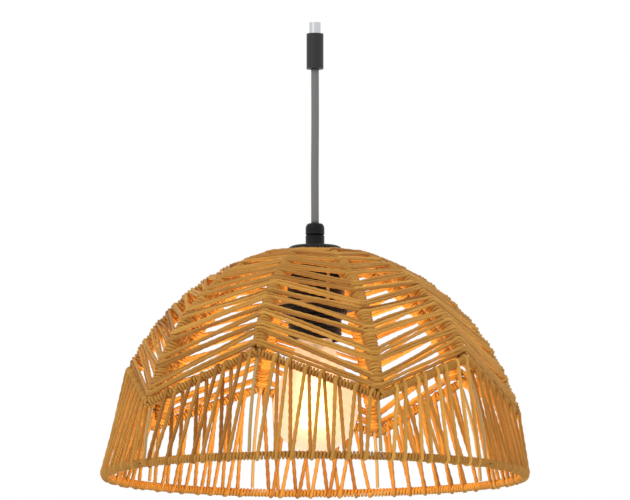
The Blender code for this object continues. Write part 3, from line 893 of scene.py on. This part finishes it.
def buildRibBindings(values):
    for number in range(shadeValues["ribs"]):
        name = f"ribBinding{number + 1:02d}"
        addTwine(name, [ribCoil(number, values)], values, 60, 600 + number)


buildBindings(bindingValues)
buildRibBindings(ribBindingValues)
print("bindings built")


# Cord grip: a nut with finger flutes on a ribbed body
gripValues = {
    "bore": 0.0031,
    "tip": 0.0042,  # radius of the nut's open end
    "domeRise": 1.5,  # height of the nut's dome for each metre it widens
    "chamfer": 0.0003,
    "flutes": 12,
    "fluteDepth": 0.00028,
    "fluteStart": [0.0004, 0.0009],  # below the dome: first touched, full depth
    "fluteStop": [0.0007, 0.0003],  # above the nut's foot: full depth, last touched
    "ribs": 30,
    "ribDepth": 0.00012,
    "edge": 0.0006,
    "stem": 0.0049,
    "seat": 0.0003,  # gap to the lampholder's cap
}


def buildGripNut(values):
    low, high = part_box("cord_grip_nut")
    outer, top, bottom = high[0], high[2], low[2]
    bore, tip = values["bore"], values["tip"]
    reach = outer - tip
    dome = [
        (tip + reach * math.sin(turn), top - reach * values["domeRise"] * (1 - math.cos(turn)))
        for turn in np.linspace(0.0, math.pi / 2, 7)
    ]
    shoulder = dome[-1][1]
    touched, full = values["fluteStart"]
    profile = dome + [(outer, shoulder - touched, 0.0), (outer, shoulder - full, 1.0)]
    full, touched = values["fluteStop"]
    profile += [(outer, bottom + full, 1.0), (outer, bottom + touched, 0.0)]
    profile += [(outer - values["chamfer"], bottom), (bore, bottom), (bore, top)]

    def flute(azimuth, height):
        return -values["fluteDepth"] * (0.5 - 0.5 * np.cos(values["flutes"] * azimuth)) ** 3

    addTurned(
        "gripNut", profile, 120, plastic, "lampholder", "cord_grip_nut", flute
    )


def buildGripBody(values):
    low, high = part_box("cord_grip_body")
    outer, top, bottom = high[0], high[2], low[2]
    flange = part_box("holder_cap")[1][2] + values["seat"]
    bore, stem, edge = values["bore"], values["stem"], values["edge"]
    profile = [
        (outer - edge, top),
        (outer, top - edge, 0.0),
        (outer, top - 2 * edge, 1.0),
        (outer, flange + 3 * edge, 1.0),
        (outer, flange + 2 * edge, 0.0),
        (outer, flange + edge / 2),
        (outer - edge / 2, flange),
        (stem, flange),
        (stem, bottom),
        (bore, bottom),
        (bore, top),
    ]

    def rib(azimuth, height):
        return -values["ribDepth"] * (0.5 + 0.5 * np.cos(values["ribs"] * azimuth))

    addTurned(
        "gripBody", profile, 120, plastic, "lampholder", "cord_grip_body", rib
    )


buildGripNut(gripValues)
buildGripBody(gripValues)
print("cord grip built")

# Threads of the lampholder, the shade ring and the bulb
threadValues = {
    "ringPitch": 0.0025,
    "ringDepth": 0.0006,
    "ringStep": 0.0002,
    "lampPitch": 0.0254 / 7,
    "lampDepth": 0.0008,
    "lampStep": 0.0003,
    "sheet": 0.0003,  # thickness of the screw shell and the bulb cap
}


def threadRelief(pitch, depth):
    def relief(azimuth, height):
        return -depth * (0.5 + 0.5 * np.cos(2 * math.pi * height / pitch - azimuth))

    return relief


def evenly(radius, top, bottom, spacing):
    count = max(2, int((top - bottom) / spacing))
    return [(radius, top + (bottom - top) * i / count, 1.0) for i in range(count + 1)]


# Lampholder: smooth cap on a body with a shoulder and a threaded skirt
holderValues = {
    "edge": 0.004,
    "wall": 0.002,
    "hole": 0.0052,  # for the cord grip's stem
    "chamfer": 0.0004,
    "seam": 0.0003,  # gap between the cap and the body
    "fillet": 0.0006,
    "bore": 0.0158,
    "skirt": 0.019,
    "shoulder": 0.002,
    "shoulderGap": 0.0005,  # to the fitter ring below it
    "threadStart": 0.0012,  # below the shoulder
    "threadStop": 0.0010,  # above the skirt's foot
}


def buildHolderCap(values):
    low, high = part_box("holder_cap")
    outer, top, bottom = high[0], high[2], low[2]
    edge, wall, hole, chamfer = [values[key] for key in ("edge", "wall", "hole", "chamfer")]
    corner = [
        (outer - edge + edge * math.sin(turn), top - edge + edge * math.cos(turn))
        for turn in np.linspace(0.0, math.pi / 2, 9)
    ]
    profile = [(hole, top)] + corner
    profile += [(outer, bottom + chamfer), (outer - chamfer, bottom), (outer - wall, bottom)]
    profile += [(outer - wall, top - wall - edge), (outer - wall - edge, top - wall), (hole, top - wall)]
    addTurned("holderCap", profile, 96, plastic, "lampholder", "holder_cap")


def buildHolderBody(values):
    capLow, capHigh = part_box("holder_cap")
    low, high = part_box("holder_body")
    outer, shoulder = capHigh[0], high[0]
    chamfer, seam, fillet = values["chamfer"], values["seam"], values["fillet"]
    bore, skirt = values["bore"], values["skirt"]
    inside = outer - values["wall"] - seam
    joint = capLow[2] - seam
    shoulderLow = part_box("fitter_ring")[1][2] + values["shoulderGap"]
    shoulderTop = shoulderLow + values["shoulder"]
    threadTop = shoulderLow - values["threadStart"]
    threadFoot = low[2] + values["threadStop"]
    profile = [(inside, high[2]), (inside, joint), (outer - chamfer, joint), (outer, joint - chamfer)]
    profile += [(outer, shoulderTop + fillet), (outer + fillet, shoulderTop)]
    profile += [(shoulder - chamfer, shoulderTop), (shoulder, shoulderTop - chamfer)]
    profile += [(shoulder, shoulderLow), (skirt, shoulderLow)]
    profile += evenly(skirt, threadTop, threadFoot, threadValues["ringStep"])
    profile += [(skirt - chamfer, low[2]), (bore, low[2]), (bore, high[2])]
    relief = threadRelief(threadValues["ringPitch"], threadValues["ringDepth"])
    addTurned(
        "holderBody", profile, 96, plastic, "lampholder", "holder_body", relief
    )


# Shade ring: the notched ring that clamps the shade
ringValues = {
    "thickness": 0.002,  # of the flange
    "bore": 0.0194,
    "collar": 0.0225,
    "chamfer": 0.0004,
    "notches": 36,
    "notchDepth": 0.0006,
    "notchEnd": 0.0003,  # short of each edge
    "collarShare": 0.7,  # of the notches' depth, on the collar
}


def buildShadeRing(values):
    low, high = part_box("shade_ring")
    flange, top, bottom = high[0], high[2], low[2]
    bore, collar, under = values["bore"], values["collar"], top - values["thickness"]
    chamfer, end, share = values["chamfer"], values["notchEnd"], values["collarShare"]
    profile = [(flange - chamfer, top), (flange, top - end, 1.0), (flange, under + end, 1.0)]
    profile += [(flange - chamfer, under), (collar, under, 0.0), (collar, under - end, share)]
    profile += [(collar, bottom + end, share), (collar - chamfer, bottom), (bore, bottom), (bore, top)]

    def notch(azimuth, height):
        return -values["notchDepth"] * (0.5 + 0.5 * np.cos(values["notches"] * azimuth)) ** 2

    addTurned("shadeRing", profile, 288, plastic, "clamp_ring", "shade_ring", notch)


def buildScrewShell(values):
    low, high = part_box("screw_shell")
    outer, top, bottom, sheet = high[0], high[2], low[2], values["sheet"]
    profile = evenly(outer, top, bottom, values["lampStep"])
    profile += evenly(outer - sheet, top, bottom, values["lampStep"])[::-1]
    relief = threadRelief(values["lampPitch"], values["lampDepth"])
    addTurned("screwShell", profile, 72, brass, "lampholder", "screw_shell", relief)


buildHolderCap(holderValues)
buildHolderBody(holderValues)
buildShadeRing(ringValues)
buildScrewShell(threadValues)
print("lampholder built")

# Bulb cap: a rolled thread, with black glass round the tip
capValues = {
    "rise": 0.35,  # depth of the shoulder, as a share of the cap's radius
    "shoulder": [(0.62, 0.0012), (0.9, 0.0005), (1.0, -0.0004)],  # share of radius, above the crown
    "threadStart": 0.0010,  # below the crown
    "threadStop": 0.0045,  # above the cap's foot
    "hem": 0.0038,
    "tipRim": 0.0005,  # of glass round the tip
    "glassEdge": 0.0010,
}


def buildBulbCap(values):
    low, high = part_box("bulb_cap")
    outer, top, bottom = high[0], high[2], low[2]
    crown = top - outer * values["rise"]
    sheet = threadValues["sheet"]
    threadTop, threadFoot = crown - values["threadStart"], bottom + values["threadStop"]
    outside = [(outer * share, crown + rise) for share, rise in values["shoulder"]]
    outside += evenly(outer, threadTop, threadFoot, threadValues["lampStep"])
    outside += [(outer, bottom + values["hem"]), (outer, bottom)]
    inside = [(radius - sheet, height, *rest) for radius, height, *rest in outside]
    relief = threadRelief(threadValues["lampPitch"], threadValues["lampDepth"])
    addTurned(
        "bulbCap", outside + inside[::-1], 96, nickel, "bulb", "bulb_cap", relief
    )
    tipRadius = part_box("bulb_tip")[1][0]
    mouth = outer * values["shoulder"][0][0] - sheet
    profile = [(0.0, top), (tipRadius + values["tipRim"], top), (mouth, crown + values["glassEdge"])]
    profile += [(mouth, crown), (0.0, crown)]
    mesh = turnedMesh("capVitrite", profile, 64, closed=False)
    addPiece("capVitrite", mesh, vitrite, "bulb")


# Bulb glass, and straight filaments in a cage on a clear stem
bulbValues = {
    **smoothTube,
    "neck": 0.0118,
    "neckCurve": 1.4,
    "wall": 0.0008,
    "sticks": 6,
    "stickRadius": 0.0009,
    "stickInset": 0.0015,
    "cageTop": 0.0062,
    "cageBottom": 0.0095,
    "cageTwist": 0.25,
    "ringRise": 0.0005,
    "wireRadius": 0.00028,
    "wireStep": 0.0008,
    "hubRise": [0.0004, 0.0002],  # above the stem's foot, by turns
    "leadRise": 0.0012,
    "leadHead": 0.0004,
    "leadFoot": 0.0006,
    "sides": 12,
    "step": 0.002,
}


def bulbOutline(values, inset):
    low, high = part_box("bulb_glass")
    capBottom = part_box("bulb_cap")[0][2]
    neck, widest = values["neck"] - inset, high[0] - inset
    middle = low[2] + high[0]
    line = [(neck, high[2])]
    for share in np.linspace(0.0, 1.0, 25):
        radius = neck + (widest - neck) * math.sin(share * math.pi / 2) ** values["neckCurve"]
        line.append((radius, capBottom + (middle - capBottom) * share))
    for turn in np.linspace(0.0, math.pi / 2, 17)[1:]:
        line.append((widest * math.cos(turn), middle - widest * math.sin(turn)))
    return line


def buildEnvelope(values):
    line = bulbOutline(values, values["wall"])[::-1] + bulbOutline(values, 0.0)
    mesh = turnedMesh("bulbEnvelope", line, 96, closed=False)
    glass = addPiece("bulbEnvelope", mesh, frosted, "bulb", ["bulb_glass"])
    glass.visible_shadow = False  # the bulb's own light passes


def buildFilaments(values):
    low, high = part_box("bulb_filament")
    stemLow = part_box("bulb_stem")[0][2]
    inset, twist = values["stickInset"], values["cageTwist"]
    sticks, leads = [], []
    for number in range(values["sticks"]):
        azimuth = number * 2 * math.pi / values["sticks"]
        head = around(values["cageTop"], azimuth, high[2] - inset)
        foot = around(values["cageBottom"], azimuth + twist, low[2] + inset)
        sticks.append([head, foot])
        hub = (0.0, 0.0, stemLow + values["hubRise"][number % 2])
        out = head * np.array((0.5, 0.5, 0.0)) + np.array((0.0, 0.0, head[2] + values["leadRise"]))
        leads.append([hub, out, head + (0.0, 0.0, values["leadHead"])])
        ring = [foot - (0.0, 0.0, values["leadFoot"])]
        for share in np.linspace(0.0, 1.0, 7):
            turn = azimuth + twist + share * 2 * math.pi / values["sticks"]
            ring.append(around(values["cageBottom"], turn, low[2] + values["ringRise"]))
        leads.append(ring)
    stick = dict(values, radius=values["stickRadius"])
    mesh = strandMesh("ledFilaments", sticks, stick, 40, 70)
    addPiece("ledFilaments", mesh, phosphor, "bulb", ["bulb_filament"])
    wire = dict(values, radius=values["wireRadius"], step=values["wireStep"])
    mesh = strandMesh("leadWires", leads, wire, 40, 71)
    addPiece("leadWires", mesh, lead, "bulb")


buildBulbCap(capValues)
buildEnvelope(bulbValues)
buildFilaments(bulbValues)
print("bulb built")


# CAD pieces that keep their own shape
def finish(names, material):
    for name in names:
        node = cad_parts[name]
        node.data.materials.clear()
        node.data.materials.append(material)
        node.data.shade_smooth()
        node.data.set_sharp_from_angle(angle=sharpAngle)


ribNames = [f"rib_{number:02d}" for number in range(1, 11)]
strutNames = [f"fitter_strut_{number}" for number in (1, 2, 3)]
finish(ribNames + strutNames + ["fitter_ring"], paint)
finish(["arm_cord", "holder_cord"], cable)
finish(["arm_sleeve"], powder)
finish(["arm_nipple", "sleeve_grub_screw"], zinc)
finish(["terminal_screw_1", "terminal_screw_2", "centre_contact"], brass)
finish(["holder_insulator"], ceramic)
finish(["bulb_tip"], solder)
finish(["bulb_stem"], stemGlass)
print("plain pieces finished")


# Light
lightValues = {
    "world": 1.0,
    "keyPower": 9.0,
    "keySize": 1.4,
    "keyPlace": (-1.6, -1.9, 1.1),
    "bulbPower": 1.25,
    "bulbColour": "#FFD8A6",
    "bulbRadius": 0.026,
    "floorDrop": 12.0,  # out of the way of views from below
    "floorSize": 30.0,
    "floorColour": "#F1F0EE",
}


def buildLights(values):
    scene = bpy.context.scene
    scene.view_settings.view_transform = "Standard"
    world = bpy.data.worlds.new("studioWorld")
    world.use_nodes = True
    world.node_tree.nodes["Background"].inputs["Color"].default_value = (1.0, 1.0, 1.0, 1.0)
    world.node_tree.nodes["Background"].inputs["Strength"].default_value = values["world"]
    scene.world = world
    low, high = cadBounds
    centre = Vector([(low[i] + high[i]) / 2 for i in range(3)])
    key = bpy.data.lights.new("keyLight", "AREA")
    key.energy = values["keyPower"]
    key.size = values["keySize"]
    keyObject = bpy.data.objects.new("keyLight", key)
    keyObject.location = values["keyPlace"]
    keyObject.rotation_euler = (centre - keyObject.location).to_track_quat("-Z", "Y").to_euler()
    scene.collection.objects.link(keyObject)
    glow = bpy.data.lights.new("bulbGlow", "POINT")
    glow.energy = values["bulbPower"]
    glow.color = linear(values["bulbColour"])[:3]
    glow.shadow_soft_size = values["bulbRadius"]
    glowObject = bpy.data.objects.new("bulbGlow", glow)
    glassLow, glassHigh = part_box("bulb_glass")
    glowObject.location = (0.0, 0.0, glassLow[2] + (glassHigh[0] - glassLow[0]) / 2)
    glowObject.visible_camera = False
    glowObject.visible_transmission = False
    glowObject.visible_glossy = False
    scene.collection.objects.link(glowObject)
    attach(glowObject, "bulb")
    half = values["floorSize"] / 2
    corners = [(-half, -half, 0), (half, -half, 0), (half, half, 0), (-half, half, 0)]
    floorMesh = bpy.data.meshes.new("studioFloor")
    floorMesh.from_pydata(corners, [], [(0, 1, 2, 3)])
    floorMesh.materials.append(newMaterial("paleFloor", values["floorColour"], 0.8)[0])
    floor = bpy.data.objects.new("studioFloor", floorMesh)
    floor.location = (0.0, 0.0, low[2] - values["floorDrop"])
    scene.collection.objects.link(floor)


buildLights(lightValues)
print("lights placed")

bpy.context.view_layer.update()
